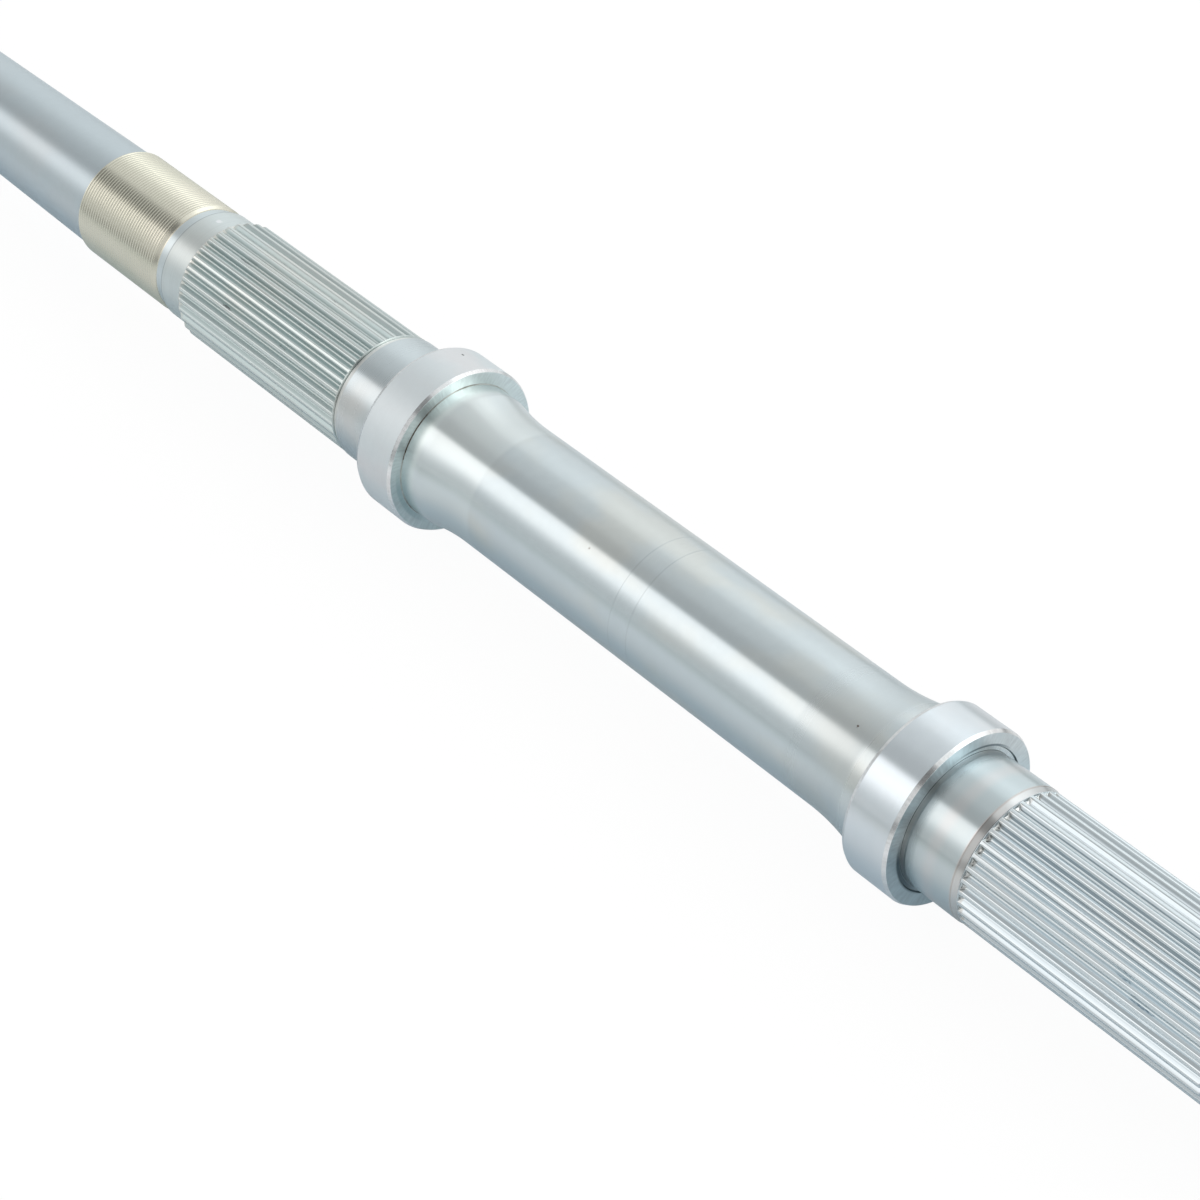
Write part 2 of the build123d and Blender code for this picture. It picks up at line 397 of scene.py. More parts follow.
def radial_marks_group():
    """Marks that fan out over a turned face: noise that changes fast round the axis and slowly out."""
    g, gin, gout = new_group("radial marks", [
        ("Vector", "NodeSocketVector", None), ("Round", "NodeSocketFloat", 30.0),
        ("Out", "NodeSocketFloat", 250.0)], [("Height", "NodeSocketFloat")])
    across = scaled(g, gin.outputs["Vector"], 0, 1, 1)
    far = node(g, "ShaderNodeVectorMath", {0: across}, operation="LENGTH").outputs["Value"]
    unit = node(g, "ShaderNodeSeparateXYZ", {0: node(g, "ShaderNodeVectorMath", {0: across},
                                                     operation="NORMALIZE").outputs[0]})
    vector = node(g, "ShaderNodeCombineXYZ", {
        0: calc(g, "MULTIPLY", far, gin.outputs["Out"]),
        1: calc(g, "MULTIPLY", unit.outputs[1], gin.outputs["Round"]),
        2: calc(g, "MULTIPLY", unit.outputs[2], gin.outputs["Round"])}).outputs[0]
    g.links.new(noise(g, vector, 3.0, 0.65), gout.inputs["Height"])
    return g


def specks_group():
    """Small dark specks and nicks: the lowest points of a fine cell pattern, in some places only."""
    g, gin, gout = new_group("specks", [
        ("Vector", "NodeSocketVector", None), ("Per Metre", "NodeSocketFloat", 500.0),
        ("Stretch", "NodeSocketFloat", 1.0), ("Amount", "NodeSocketFloat", 0.1)],
        [("Mask", "NodeSocketFloat")])
    axis = node(g, "ShaderNodeSeparateXYZ", {0: gin.outputs["Vector"]})
    per = gin.outputs["Per Metre"]
    x = calc(g, "DIVIDE", calc(g, "MULTIPLY", axis.outputs[0], per), gin.outputs["Stretch"])
    vector = node(g, "ShaderNodeCombineXYZ", {0: x, 1: calc(g, "MULTIPLY", axis.outputs[1], per),
                                              2: calc(g, "MULTIPLY", axis.outputs[2], per)}).outputs[0]
    cell = node(g, "ShaderNodeTexVoronoi", {"Vector": vector, "Scale": 1.0, "Randomness": 1.0})
    pick = node(g, "ShaderNodeSeparateColor", {0: cell.outputs["Color"]}).outputs[0]
    chosen = calc(g, "LESS_THAN", pick, gin.outputs["Amount"])
    dot = spread(g, cell.outputs["Distance"], 0.34, 0.16)
    g.links.new(calc(g, "MULTIPLY", chosen, dot), gout.inputs["Mask"])
    return g


def span_group():
    """Mask of a stretch of the shaft: 1 between two stations along X and 0 beyond, with soft ends."""
    g, gin, gout = new_group("stretch along the axis", [
        ("Vector", "NodeSocketVector", None), ("From", "NodeSocketFloat", 0.0),
        ("To", "NodeSocketFloat", 1.0), ("Soft", "NodeSocketFloat", 0.001)], [("Mask", "NodeSocketFloat")])
    along = node(g, "ShaderNodeSeparateXYZ", {0: gin.outputs["Vector"]}).outputs[0]
    enter = calc(g, "DIVIDE", calc(g, "SUBTRACT", along, gin.outputs["From"]), gin.outputs["Soft"])
    leave = calc(g, "DIVIDE", calc(g, "SUBTRACT", gin.outputs["To"], along), gin.outputs["Soft"])
    entered, left = (calc(g, "ADD", way, 0.5, clamp=True) for way in (enter, leave))
    g.links.new(calc(g, "MINIMUM", entered, left), gout.inputs["Mask"])
    return g


def spot_group():
    """Mask of one small mark: 1 at its middle, fading to 0 over an ellipsoid, with a ragged outline."""
    g, gin, gout = new_group("single mark", [
        ("Vector", "NodeSocketVector", None), ("Middle", "NodeSocketVector", None),
        ("Per Size", "NodeSocketVector", None)], [("Mask", "NodeSocketFloat")])
    offset = node(g, "ShaderNodeVectorMath", {0: gin.outputs["Vector"], 1: gin.outputs["Middle"]},
                  operation="SUBTRACT").outputs[0]
    unit = node(g, "ShaderNodeVectorMath", {0: offset, 1: gin.outputs["Per Size"]},
                operation="MULTIPLY").outputs[0]
    far = node(g, "ShaderNodeVectorMath", {0: unit}, operation="LENGTH").outputs["Value"]
    ragged = noise(g, scaled(g, gin.outputs["Vector"], 900, 2500, 2500), 2.0)
    reach = calc(g, "MULTIPLY_ADD", calc(g, "SUBTRACT", ragged, 0.5), 1.6, far)
    g.links.new(spread(g, reach, 1.0, 0.45), gout.inputs["Mask"])
    return g


def arc_group():
    """Mask of an arc round the axis: 1 near its middle direction and radius, with soft ends and sides."""
    g, gin, gout = new_group("arc round the axis", [
        ("Vector", "NodeSocketVector", None), ("Middle", "NodeSocketVector", None),
        ("Reach", "NodeSocketFloat", 0.5), ("Radius", "NodeSocketFloat", 0.018),
        ("Width", "NodeSocketFloat", 0.001)], [("Mask", "NodeSocketFloat")])
    across = scaled(g, gin.outputs["Vector"], 0, 1, 1)
    far = node(g, "ShaderNodeVectorMath", {0: across}, operation="LENGTH").outputs["Value"]
    unit = node(g, "ShaderNodeVectorMath", {0: across}, operation="NORMALIZE").outputs[0]
    turn = node(g, "ShaderNodeVectorMath", {0: unit, 1: gin.outputs["Middle"]},
                operation="DOT_PRODUCT").outputs["Value"]
    away = calc(g, "DIVIDE", calc(g, "ARCCOSINE", calc(g, "MINIMUM", turn, 1.0)), gin.outputs["Reach"])
    side = calc(g, "DIVIDE", calc(g, "ABSOLUTE", calc(g, "SUBTRACT", far, gin.outputs["Radius"])),
                gin.outputs["Width"])
    mask = calc(g, "MULTIPLY", spread(g, away, 1.0, 0.3), spread(g, side, 1.0, 0.4))
    g.links.new(mask, gout.inputs["Mask"])
    return g


PLATE = plate_colour_group()
ARC = arc_group()
SPAN = span_group()
SPOT_MASK = spot_group()
TURNING = turning_marks_group()
DRAWN = drawn_marks_group()
RADIAL = radial_marks_group()
SPECKS = specks_group()


def place(tree, group, vector, **values):
    """A group node fed with the vector, with its own values by socket name."""
    made = node(tree, "ShaderNodeGroup", None, node_tree=group)
    tree.links.new(vector, made.inputs["Vector"])
    for key, value in values.items():
        made.inputs[key.replace("_", " ")].default_value = value
    return made


FRONT_ANGLE = 128.6  # the way the shaft's front faces, in degrees round X


def on_skin(x, turn, radius):
    """Point of the skin in metres, by its station and its angle from the front of the shaft, in degrees."""
    angle = math.radians(FRONT_ANGLE + turn)
    return (x * MM, radius * MM * math.cos(angle), radius * MM * math.sin(angle))


def toned(tree, colour, pattern, swing):
    """The colour, lighter and darker by the swing as the pattern goes above and below its middle of 0.5."""
    tone = calc(tree, "MULTIPLY_ADD", calc(tree, "SUBTRACT", pattern, 0.5), swing, 1.0)
    grey = node(tree, "ShaderNodeCombineColor", {0: tone, 1: tone, 2: tone}).outputs[0]
    return mix(tree, 1.0, colour, grey, "MULTIPLY")


ROUGH_SWING = 0.05
SPECK, PALE_EDGE = (0.12, 0.11, 0.1, 1), (0.86, 0.87, 0.87, 1)


def steel(name, cool, warm, patch=0.5, mottle=0.06, rough=0.2, marks=3000.0, depth=0.4, drawn=None,
          drawn_depth=0.3, land_rough=None, speck=None, edge=0.0, anisotropy=0.85, mark_tone=0.06,
          radial=0.0, flank=None, heads=None, stretches=(), specks_and_painted_spots=(), arcs=()):
    """Plated steel: colour, roughness and relief from the shared effects.

    The plate drifts from cool to warm by patch, with the fine swing mottle. marks is the number of turning
    marks per metre, depth their relief and mark_tone their swing in tone. drawn and drawn_depth are the
    same for marks along the teeth. land_rough is the roughness added on the lands of the teeth, and edge
    is the share of a pale tone on their rounded edges. speck is (per metre, stretch, amount).
    stretches are (from, to, soft, roughness added, colour, share of the colour) along X, in millimetres.
    Spots are (station, angle from the front, radius, length, width, colour), in millimetres and degrees:
    real specks and dark streaks, painted highlights and painted shade.
    arcs are (middle, half its angle, radius, half its width, from, to, colour, share): arcs of painted shade
    round the axis.
    radial is the swing in tone of the marks that fan out over a face. flank is (colour, share) of painted
    shade on the flanks of the teeth. heads is a stretch (from, to, soft, colour, share) that leaves the lands
    free.
    """
    material = bpy.data.materials.new(name)
    material.use_nodes = True
    tree = material.node_tree
    tree.nodes.clear()
    where = node(tree, "ShaderNodeTexCoord").outputs["Object"]

    def mask_of(attribute):
        return node(tree, "ShaderNodeAttribute", None, attribute_name=attribute).outputs["Fac"]

    def span(start, end, soft):
        return place(tree, SPAN, where, From=start * MM, To=end * MM, Soft=soft * MM).outputs[0]

    colour = place(tree, PLATE, where, Cool=(*cool, 1), Warm=(*warm, 1), Patch=patch,
                   Mottle=mottle).outputs[0]
    rings = place(tree, TURNING, where, Per_Metre=marks).outputs[0]
    colour = toned(tree, colour, rings, mark_tone)
    rough_value = calc(tree, "MULTIPLY_ADD", calc(tree, "SUBTRACT", rings, 0.5), ROUGH_SWING, rough)
    height = rings
    bump_depth = depth
    if drawn:
        lines = place(tree, DRAWN, where, Per_Metre=drawn).outputs[0]
        height = calc(tree, "MULTIPLY_ADD", lines, drawn_depth, calc(tree, "MULTIPLY", rings, depth))
        bump_depth = 1.0
    if land_rough:
        rough_value = calc(tree, "MULTIPLY_ADD", mask_of("land"), land_rough, rough_value)
    for start, end, soft, added, tint, share in stretches:
        mask = span(start, end, soft)
        rough_value = calc(tree, "MULTIPLY_ADD", mask, added, rough_value)
        colour = mix(tree, calc(tree, "MULTIPLY", mask, share), colour, (*tint, 1))
    if radial:
        colour = toned(tree, colour, place(tree, RADIAL, where).outputs[0], radial)
    if flank:
        colour = mix(tree, calc(tree, "MULTIPLY", mask_of("flank"), flank[1]), colour, (*flank[0], 1))
    if heads:
        start, end, soft, tint, share = heads
        mask = span(start, end, soft)
        mask = calc(tree, "MULTIPLY", mask, calc(tree, "MULTIPLY_ADD", mask_of("land"), -share, share))
        colour = mix(tree, mask, colour, (*tint, 1))
    if speck:
        per, stretch, amount = speck
        mask = place(tree, SPECKS, where, Per_Metre=per, Stretch=stretch, Amount=amount).outputs[0]
        colour = mix(tree, mask, colour, SPECK)
        rough_value = calc(tree, "MULTIPLY_ADD", mask, 0.3, rough_value)
    for x, turn, radius, length, width, tint in specks_and_painted_spots:
        mask = place(tree, SPOT_MASK, where, Middle=on_skin(x, turn, radius),
                     Per_Size=(2 / length / MM, 2 / width / MM, 2 / width / MM)).outputs[0]
        colour = mix(tree, mask, colour, (*tint, 1))
    for middle, reach, radius, width, start, end, tint, share in arcs:
        mask = place(tree, ARC, where, Middle=on_skin(0, middle, 1 / MM), Reach=math.radians(reach),
                     Radius=radius * MM, Width=width * MM).outputs[0]
        mask = calc(tree, "MULTIPLY", calc(tree, "MULTIPLY", mask, span(start, end, 0.05)), share)
        colour = mix(tree, mask, colour, (*tint, 1))
    if edge:
        colour = mix(tree, calc(tree, "MULTIPLY", mask_of("edge"), edge), colour, PALE_EDGE)
    bump = node(tree, "ShaderNodeBump", {"Height": height, "Strength": bump_depth, "Distance": 0.00002})
    tangent = node(tree, "ShaderNodeTangent", None, direction_type="RADIAL", axis="X")
    shader = node(tree, "ShaderNodeBsdfPrincipled", {
        "Base Color": colour, "Metallic": 1.0, "Roughness": rough_value, "Anisotropic": anisotropy,
        "Anisotropic Rotation": 0.25, "Normal": bump.outputs[0], "Tangent": tangent.outputs[0]})
    out = node(tree, "ShaderNodeOutputMaterial")
    tree.links.new(shader.outputs[0], out.inputs[0])
    return material


# ------------------------------------------------------------------ finishes

DARK, PAINTED_DARK_REFLECTION, PAINTED_GLINT = (0.06, 0.06, 0.06), (0.16, 0.22, 0.27), (0.93, 0.95, 0.96)
PAINTED_SHADE = (0.10, 0.14, 0.16)

turned_body = steel("turned body", (0.585, 0.65, 0.675), (0.655, 0.665, 0.625), patch=0.6, rough=0.22,
                    stretches=[(-77, -55.8, 1.0, 0.0, (0.66, 0.72, 0.73), 0.7),
                               (-80.5, -75.5, 1.5, 0.03, (0.74, 0.81, 0.80), 0.7),
                               (55.2, 74.5, 1.0, 0.05, (0.57, 0.63, 0.65), 0.3),
                               (62, 78, 10.0, 0.05, (0.6, 0.6, 0.6), 0.0),
                               (-4.1, -3.8, 0.1, 0.0, (0.45, 0.5, 0.52), 0.4),
                               (2.2, 2.5, 0.1, 0.0, (0.45, 0.5, 0.52), 0.4)],
                    specks_and_painted_spots=[(69.1, -11, 17.5, 0.9, 0.9, (0.10, 0.05, 0.04)),
                           (-17.7, 1, 17.0, 0.5, 0.5, (0.3, 0.28, 0.25))])
left_collar_finish = steel("ground collar, left", (0.71, 0.76, 0.78), (0.75, 0.74, 0.75), patch=0.6,
                           rough=0.55, marks=6000, depth=0.25, anisotropy=0.1,
                           specks_and_painted_spots=[(-88.3, -60.2, 22.5, 1.1, 0.6, DARK)])
right_collar_finish = steel("ground collar, right", (0.68, 0.74, 0.78), (0.74, 0.74, 0.75), patch=0.5,
                            rough=0.24, marks=6000, depth=0.2)
# the arcs are painted shade: two dark ones by the right collar's undercut and a dark teal one low on the left
# collar's face
collar_face = steel("turned collar face", (0.58, 0.67, 0.70), (0.66, 0.68, 0.68), patch=0.6, rough=0.34,
                    mottle=0.3, marks=2500, depth=0.5, anisotropy=0.6, drawn=700, drawn_depth=0.5, radial=0.5,
                    stretches=[(-81, -79, 0.1, 0.0, (0.75, 0.82, 0.81), 0.8),
                               (79, 81, 0.1, 0.0, (0.74, 0.76, 0.80), 0.7)],
                    arcs=[(72, 42, 18.2, 1.1, 92, 94, PAINTED_SHADE, 0.9), (-60, 34, 18.95, 0.4, 92, 94, PAINTED_SHADE, 0.8),
                          (72, 40, 19.4, 1.0, -81, -79, (0.38, 0.52, 0.54), 0.5)])
collar_chamfer = steel("turned chamfer", (0.78, 0.80, 0.81), (0.80, 0.77, 0.76), patch=0.5, rough=0.24,
                       mottle=0.3, marks=6000, depth=0.2, radial=0.4)
# painted shade: a mottled dark line where each collar face meets its flare, with a darker spot on the left
corner_shade = steel("painted corner shade", (0.5, 0.52, 0.50), (0.18, 0.17, 0.14), patch=1.0, mottle=1.2, rough=0.4,
                    depth=0.3, drawn=1500, specks_and_painted_spots=[(-80.1, 12, 18.4, 1.2, 16.0, (0.10, 0.08, 0.06))])
# painted shade: a dark lip and inner corner in each undercut
undercut_shade = steel("painted undercut shade", (0.14, 0.18, 0.19), (0.2, 0.21, 0.2), rough=0.3)
ground_journal = steel("ground journal", (0.58, 0.645, 0.67), (0.66, 0.65, 0.63), patch=0.7, rough=0.28,
                       marks=4500, depth=0.5, stretches=[
                           (93.8, 107.6, 0.3, -0.05, (0.53, 0.615, 0.64), 0.6),
                           (99.3, 102.3, 1.8, 0.03, (0.74, 0.69, 0.68), 0.3),
                           (107.7, 108.0, 0.15, 0.0, (0.25, 0.2, 0.17), 0.5),
                           # painted shade: darker next to the right collar's face
                           (93.2, 95.6, 2.4, 0.1, (0.33, 0.38, 0.40), 0.45),
                           (-109.5, -107.8, 0.3, 0.1, (0.85, 0.84, 0.80), 0.6),
                           (107.5, 109.4, 0.3, 0.0, (0.68, 0.63, 0.60), 0.4)])
# flank darkens the flanks of the teeth with painted shade
right_teeth = steel("splined teeth, right", (0.66, 0.73, 0.76), (0.71, 0.73, 0.73), patch=0.5, rough=0.1,
                    depth=0.15, drawn=2500, drawn_depth=0.35, land_rough=0.22, speck=(420, 4.0, 0.02),
                    edge=0.15, anisotropy=0.0, flank=((0.42, 0.49, 0.54), 0.35),
                    heads=(109.9, 110.8, 0.4, (0.34, 0.29, 0.23), 0.4), specks_and_painted_spots=[
                        # the pale spots on the lands are painted highlights, the dark bluish ones painted
                        # dark reflections
                        (161.5, 39, 17.1, 11, 1.6, PAINTED_GLINT), (138, -1.7, 17.1, 8, 1.6, PAINTED_GLINT),
                        (144, -33.6, 17.1, 5, 1.6, PAINTED_GLINT), (142.5, 68, 17.3, 2.5, 1.5, PAINTED_GLINT),
                        (159, 28, 17.1, 9, 1.5, PAINTED_DARK_REFLECTION), (152, 18, 17.1, 7, 1.5, PAINTED_DARK_REFLECTION),
                        (151, -2.6, 17.1, 6, 1.5, PAINTED_DARK_REFLECTION), (136, -33.4, 17.1, 4, 1.5, PAINTED_DARK_REFLECTION)])
# flank darkens the flanks of the teeth with painted shade
left_teeth = steel("splined teeth, left", (0.62, 0.68, 0.67), (0.68, 0.68, 0.64), patch=0.5, rough=0.36,
                   depth=0.15, drawn=2500, drawn_depth=0.35, land_rough=-0.2, speck=(420, 4.0, 0.03),
                   edge=0.15, anisotropy=0.0, flank=((0.28, 0.38, 0.39), 0.5),
                   stretches=[(-178.3, -176.6, 0.6, 0.1, (0.76, 0.74, 0.68), 0.6)], specks_and_painted_spots=[
                       (x, turn, 17.1, length, 1.2, (0.14, 0.16, 0.16)) for x, turn, length in [
                           (-157.8, 19.5, 5.0), (-134, 18.5, 6.0), (-162, -22.5, 7.0),
                           (-132, -43.5, 5.5), (-129, 37.5, 8.0), (-155, 48, 5.0)]])
thread_finish = steel("yellow thread film", (0.67, 0.66, 0.56), (0.73, 0.70, 0.605), patch=0.5, rough=0.25,
                      marks=5000, depth=0.1, anisotropy=0.2)
tapered = steel("turned taper", (0.53, 0.60, 0.635), (0.56, 0.59, 0.60), patch=0.4, rough=0.38, marks=4000,
                depth=0.25, anisotropy=0.6)
seat_finish = steel("turned seat", (0.64, 0.70, 0.705), (0.68, 0.70, 0.67), patch=0.5, rough=0.42, marks=4000,
                    depth=0.25, anisotropy=0.6, mark_tone=0.2, stretches=[
                        (-190.4, -187.7, 0.2, -0.1, (0.60, 0.68, 0.72), 0.6),
                        (-187.0, -186.5, 0.2, 0.0, (0.36, 0.41, 0.43), 0.7)],
                    # painted highlight: a pale spot on the seat
                    specks_and_painted_spots=[(-182.5, -43, 16.0, 2.4, 1.8, (0.78, 0.81, 0.83))])

# ------------------------------------------------------------------ pieces

flare_angle = math.acos(1 - FLARE_RISE / FLARE_ARC)
flare_x = COLLAR_X - FLARE_BAND - FLARE_ARC * math.sin(flare_angle)
band_r = BODY_R + FLARE_RISE
turns = np.linspace(0, flare_angle, 20)
flare = [(flare_x + FLARE_ARC * math.sin(t), BODY_R + FLARE_ARC * (1 - math.cos(t)), 0) for t in turns]
half_outline = [
    *flare,
    (COLLAR_X + FACE_DISH, band_r, 0.2),
    (COLLAR_X, COLLAR_R - CHAMFER_HIGH, 0.1),
    (COLLAR_X + CHAMFER_LONG, COLLAR_R, 0.25),
    (SHOULDER_X - CHAMFER_LONG, COLLAR_R, 0.25),
    (SHOULDER_X, COLLAR_R - CHAMFER_HIGH, 0.1),
    (SHOULDER_X, UNDERCUT_TOP_R, 0.04),
    (SHOULDER_X - UNDERCUT_DEEP, UNDERCUT_TOP_R - 0.2, 0.1),
    (SHOULDER_X - UNDERCUT_DEEP, UNDERCUT_R, 0.1),
    (SHOULDER_X + 0.7, UNDERCUT_R, 0.1),
    (SHOULDER_X + 1.1, JOURNAL_R, 0.04),
    (NECK_X, JOURNAL_R, 0.15),
    (NECK_FOOT_X, JOURNAL_R - 0.6, 0),
]
outline = [(-x, r, c) for x, r, c in reversed(half_outline)] + [(0, BODY_R, 0)] + half_outline


def centre_zones(x, r):
    """Material number of each ring, by the middle of the strip that leads to the next ring.

    0 body and flares, 1 left collar, 2 right collar, 3 journals and necks, 4 collar faces, 5 collar
    chamfers, 6 painted shade in the corner where a face meets its flare, 7 painted shade on the lip and
    corner of the undercut.
    """
    a, m = np.abs((x + np.roll(x, -1)) / 2), (r + np.roll(r, -1)) / 2
    recess = SHOULDER_X - UNDERCUT_DEEP
    lip = (m < UNDERCUT_TOP_R + 0.02) & (m > UNDERCUT_TOP_R - 0.25)
    tests = [
        (a < COLLAR_X + 0.52) & (np.hypot(a - COLLAR_X - 0.5, m - band_r) < 0.24),
        a < COLLAR_X + 0.52,
        (a > recess - 0.02) & (a < SHOULDER_X + 0.02) & lip,
        np.hypot(a - recess, m - UNDERCUT_R) < 0.11,
        (a > recess - 0.02) & (m < UNDERCUT_TOP_R - 0.2) & (m > UNDERCUT_R + 0.1) & (a < recess + 0.02),
        (a > recess) & (m < UNDERCUT_TOP_R - 0.2),
        m < COLLAR_R - 0.52,
        m < COLLAR_R - 0.03,
        x < 0]
    low = np.where(m < band_r + 0.1, 0, np.where(m < COLLAR_R - 0.52, 4, 5))
    return np.select(tests, [6, low, 7, 7, 4, 3, 4, 5, 1], 2)


turned("centre_section", rounded(outline), [
    turned_body, left_collar_finish, right_collar_finish, ground_journal, collar_face, collar_chamfer,
    corner_shade, undercut_shade], centre_zones)
spline("right_spline", 1, RIGHT_TURN, TAPER_R, [right_teeth])
spline("left_spline", -1, LEFT_TURN, SEAT_R, [left_teeth], end_rise=0.35)
turned("hub_seat", rounded([(-RELIEF_X, RELIEF_R, 0), (-187.6, RELIEF_R, 0.2), (-186.8, SEAT_R, 0.15),
                            (-SEAT_X, SEAT_R, 0)]), [seat_finish])
thread("nut_thread", [thread_finish])


def shaft_end(name, start, side):
    """Tapered end: cone to the parallel end, chamfer, and a 60 degree lathe centre in the end face."""
    depth = CENTRE_R / math.tan(math.radians(30))
    x, r = rounded([(*start, 0), (TAPER_END_X, END_R, 2.0), (END_X - END_CHAMFER, END_R, 0.2),
                    (END_X, END_R - END_CHAMFER, 0.2), (END_X, CENTRE_R, 0.15),
                    (END_X - depth * 0.9, CENTRE_R * 0.1, 0)])
    order = slice(None, None, side)
    pole = side * (END_X - depth)
    ends = {"pole_high": pole} if side > 0 else {"pole_low": pole}
    return turned(name, (side * x[order], r[order]), [tapered], around=AROUND_ENDS, **ends)


shaft_end("right_taper", (TAPER_X, TAPER_R), 1)
shaft_end("left_taper", (THREAD_END_X, THREAD_FOOT_R), -1)

# ------------------------------------------------------------------ floor, light and camera, in metres

FLOOR_Z, FLOOR_REACH = -COLLAR_R * MM - 0.0002, 12.0
FLOOR_LEVEL, FLOOR_SEEN, FLOOR_MIRRORED = 1.02, 0.93, 0.1
PANE_LEVEL, BACK_LEVEL, FRONT_SHADE = 0.6, 0.75, 0.7
LAMP_DISTANCE, LAMP_SIDE, LAMP_WATTS = 1.8, 0.6, 1.7
LENS, SENSOR = 96.76, 36.0  # of the camera, in millimetres


def floor_material():
    """Pale floor: white to the camera, with a little of its shade, and clear from below.

    In reflections it carries painted shade: it is greyer far from the shaft, darkest in the distance
    towards +X, and a little bluer right under the shaft.
    """
    material = bpy.data.materials.new("pale floor")
    material.use_nodes = True
    tree = material.node_tree
    tree.nodes.clear()
    path = node(tree, "ShaderNodeLightPath")
    spot = node(tree, "ShaderNodeSeparateXYZ", {0: node(tree, "ShaderNodeTexCoord").outputs["Object"]})
    across = calc(tree, "ABSOLUTE", spot.outputs[1])
    # painted shade, seen in reflections only: darker and bluer under the shaft, greyer further out, dark far
    # towards +X
    near = mix(tree, spread(tree, across, 0.02, 0.045), (0.70, 0.81, 0.885, 1), (0.86, 0.885, 0.905, 1))
    shade = mix(tree, spread(tree, across, 0.08, 0.2), near, (0.70, 0.73, 0.73, 1))
    beyond = calc(tree, "MULTIPLY", spread(tree, across, 0.3, 0.5),
                  spread(tree, spot.outputs[0], -0.4, -0.05))
    shade = mix(tree, beyond, shade, (0.3, 0.32, 0.33, 1))
    shade = mix(tree, path.outputs["Is Camera Ray"], shade, (0.9, 0.9, 0.9, 1))
    diffuse = node(tree, "ShaderNodeBsdfDiffuse", {"Color": shade})
    white = node(tree, "ShaderNodeEmission", {"Color": (1, 1, 1, 1), "Strength": FLOOR_LEVEL})
    seen = calc(tree, "MULTIPLY", path.outputs["Is Camera Ray"], FLOOR_SEEN)
    mirrored = calc(tree, "MULTIPLY", calc(tree, "MAXIMUM", path.outputs["Is Glossy Ray"],
                                           path.outputs["Is Transmission Ray"]), FLOOR_MIRRORED)
    lit = node(tree, "ShaderNodeMixShader", {0: calc(tree, "ADD", seen, mirrored), 1: diffuse.outputs[0],
                                             2: white.outputs[0]})
    clear = node(tree, "ShaderNodeBsdfTransparent")
    back = node(tree, "ShaderNodeNewGeometry").outputs["Backfacing"]
    both = node(tree, "ShaderNodeMixShader", {0: back, 1: lit.outputs[0], 2: clear.outputs[0]})
    out = node(tree, "ShaderNodeOutputMaterial")
    tree.links.new(both.outputs[0], out.inputs[0])
    return material


floor_mesh = bpy.data.meshes.new("floor")
floor_mesh.from_pydata([(x * FLOOR_REACH, y * FLOOR_REACH, FLOOR_Z)
                        for x, y in [(-1, -1), (1, -1), (1, 1), (-1, 1)]], [], [(0, 1, 2, 3)])
floor_mesh.materials.append(floor_material())
floor = bpy.data.objects.new("floor", floor_mesh)
bpy.context.scene.collection.objects.link(floor)


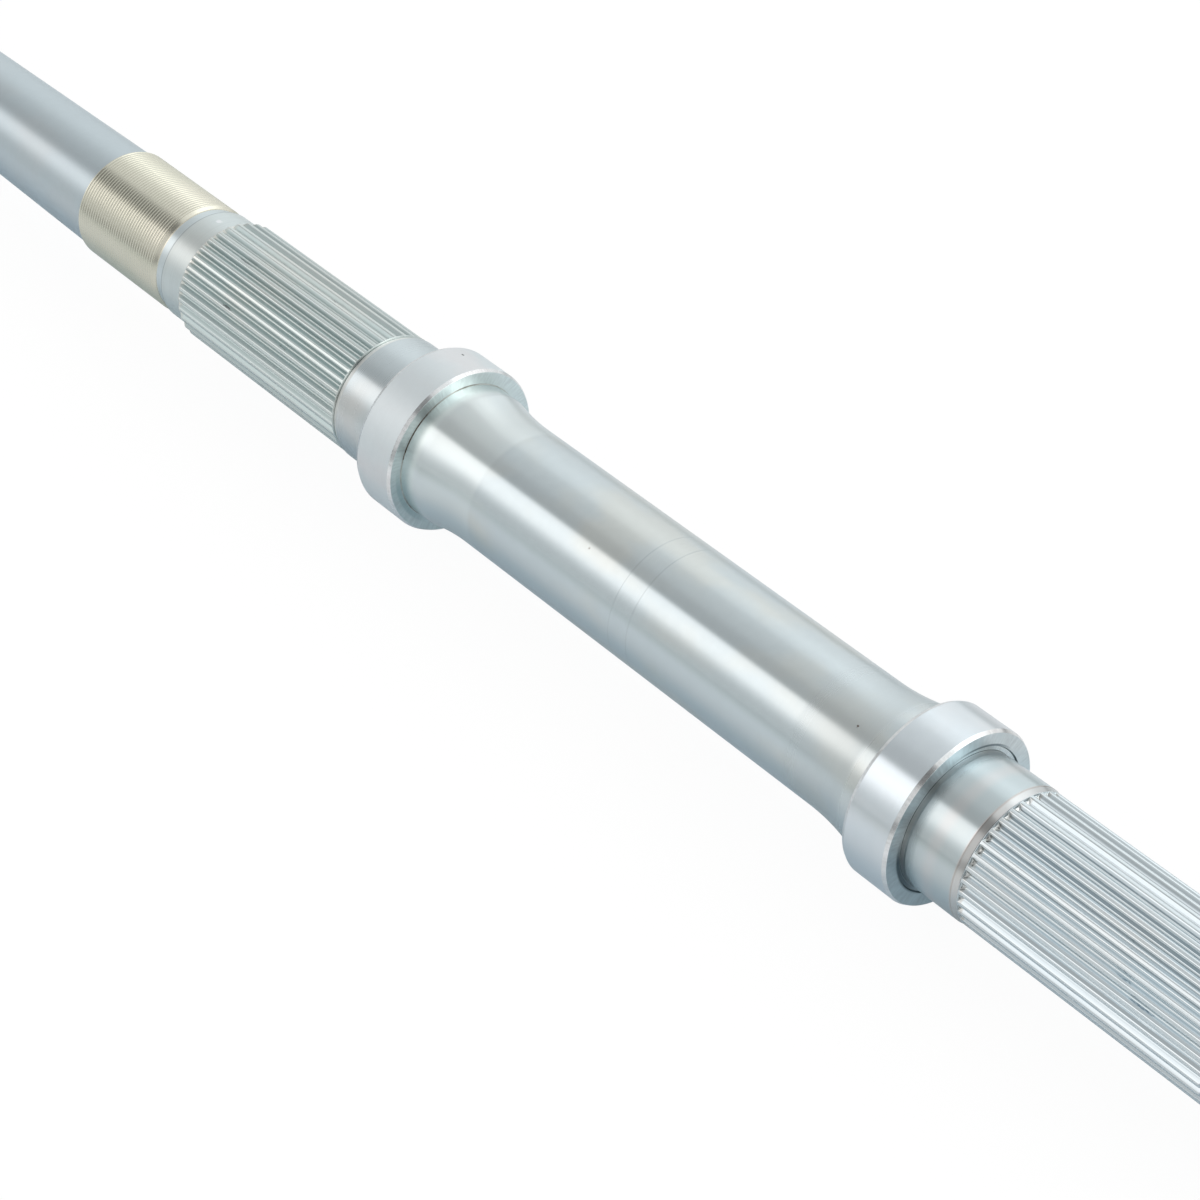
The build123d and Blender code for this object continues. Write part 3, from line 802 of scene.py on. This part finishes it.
def studio_world():
    """Pale studio, as levels by the angle round the X axis, each kept to a share of the way along it.

    room is the grey ceiling and the pale walls, duller far towards -X. light is a long soft light above
    the front, on the -X side, with a shorter second one towards +X. pane is a brighter pane in the back
    wall on the -X side. Towards +X, back is a bright wall behind and front is two dim stripes in front.
    """
    world = bpy.data.worlds.new("studio")
    bpy.context.scene.world = world
    world.use_nodes = True
    tree = world.node_tree
    tree.nodes.clear()
    direction = node(tree, "ShaderNodeTexCoord").outputs["Generated"]
    axis = node(tree, "ShaderNodeSeparateXYZ", {0: direction})
    turn = calc(tree, "ARCTAN2", axis.outputs[2], axis.outputs[1])
    share = calc(tree, "FRACT", calc(tree, "DIVIDE", turn, 2 * math.pi))

    def ramp(stops):
        made = node(tree, "ShaderNodeValToRGB", {0: share})
        while len(made.color_ramp.elements) < len(stops):
            made.color_ramp.elements.new(0.5)
        for element, (degrees, level) in zip(made.color_ramp.elements, stops):
            element.position = degrees / 360
            element.color = (level / 2, level / 2, level / 2, 1)
        return calc(tree, "MULTIPLY", made.outputs[0], 2.0)

    room = ramp([(0, 0.93), (20, 0.97), (33, 1.02), (46, 1.05), (62, 1.0), (66, 0.85), (80, 0.77),
                 (93, 0.72), (104, 0.61), (120, 0.56), (150, 0.60), (158, 0.66), (165, 0.72), (177, 0.74),
                 (185, 0.78), (200, 0.86), (300, 0.9), (360, 0.93)])
    light = ramp([(0, 0), (120.5, 0), (124, 0.62), (127, 0.88), (140, 0.95), (150, 0.84), (158, 0.42),
                  (165, 0.12), (172, 0), (360, 0)])
    back = ramp([(0, 0), (15, 0), (30, 1), (62, 1), (70, 0.35), (97, 0.3), (101, 0), (360, 0)])
    pane = ramp([(0, 0.55), (20, 0.6), (33, 0.75), (45, 1), (52, 0.6), (57, 0.36), (64, 0), (340, 0),
                 (352, 0.5), (360, 0.55)])
    front = ramp([(0, 0), (94, 0), (99, 1), (122, 1), (127, 0.1), (169, 0.1), (173, 0.85), (186, 0.85),
                  (190, 0), (360, 0)])
    along = axis.outputs[0]
    first = between(tree, along, -0.97, -0.9, -0.12, 0.0)
    second = between(tree, along, 0.48, 0.58, 0.8, 0.9)
    lit = calc(tree, "MULTIPLY", light, calc(tree, "ADD", first, second))
    room = calc(tree, "MULTIPLY", room, spread(tree, along, -0.76, -0.83, 1.0, 0.8))
    level = calc(tree, "ADD", lit, room)
    beside = between(tree, along, -0.474, -0.455, -0.39, -0.34)
    level = calc(tree, "MULTIPLY_ADD", calc(tree, "MULTIPLY", pane, beside), PANE_LEVEL, level)
    towards = spread(tree, along, -0.05, 0.2)
    level = calc(tree, "MULTIPLY_ADD", calc(tree, "MULTIPLY", back, towards), BACK_LEVEL, level)
    stripes = calc(tree, "MULTIPLY", front, towards)
    level = calc(tree, "MULTIPLY", level, calc(tree, "MULTIPLY_ADD", stripes, -FRONT_SHADE, 1.0))
    colour = mix(tree, lit, (0.985, 1.0, 1.0, 1), (1.03, 1.0, 0.985, 1))
    studio = node(tree, "ShaderNodeBackground", {0: colour, 1: level})
    white = node(tree, "ShaderNodeBackground", {0: (1, 1, 1, 1), 1: 1.0})
    camera_ray = node(tree, "ShaderNodeLightPath").outputs["Is Camera Ray"]
    both = node(tree, "ShaderNodeMixShader", {0: camera_ray, 1: studio.outputs[0], 2: white.outputs[0]})
    out = node(tree, "ShaderNodeOutputWorld")
    tree.links.new(both.outputs[0], out.inputs[0])


studio_world()

lamp_data = bpy.data.lights.new("side light", "AREA")
lamp_data.shape, lamp_data.size, lamp_data.energy = "SQUARE", LAMP_SIDE, LAMP_WATTS
lamp_data.color = (1.0, 0.95, 0.93)
lamp = bpy.data.objects.new("side light", lamp_data)
lamp.location = Vector((0.67, 0.49, 0.555)).normalized() * LAMP_DISTANCE
lamp.rotation_mode = "QUATERNION"
lamp.rotation_quaternion = lamp.location.to_track_quat("Z", "Y")
bpy.context.scene.collection.objects.link(lamp)

camera_data = bpy.data.cameras.new("camera")
camera_data.lens, camera_data.sensor_width = LENS, SENSOR
camera = bpy.data.objects.new("camera", camera_data)
camera.location = (0.4270, -0.3872, 0.4850)
camera.rotation_mode = "QUATERNION"
camera.rotation_quaternion = Vector((-0.5832, 0.4979, -0.6418)).to_track_quat("-Z", "Y")
camera_data.clip_start, camera_data.clip_end = 0.01, 100
bpy.context.scene.collection.objects.link(camera)
bpy.context.scene.camera = camera

bpy.context.scene.view_settings.view_transform = "Standard"
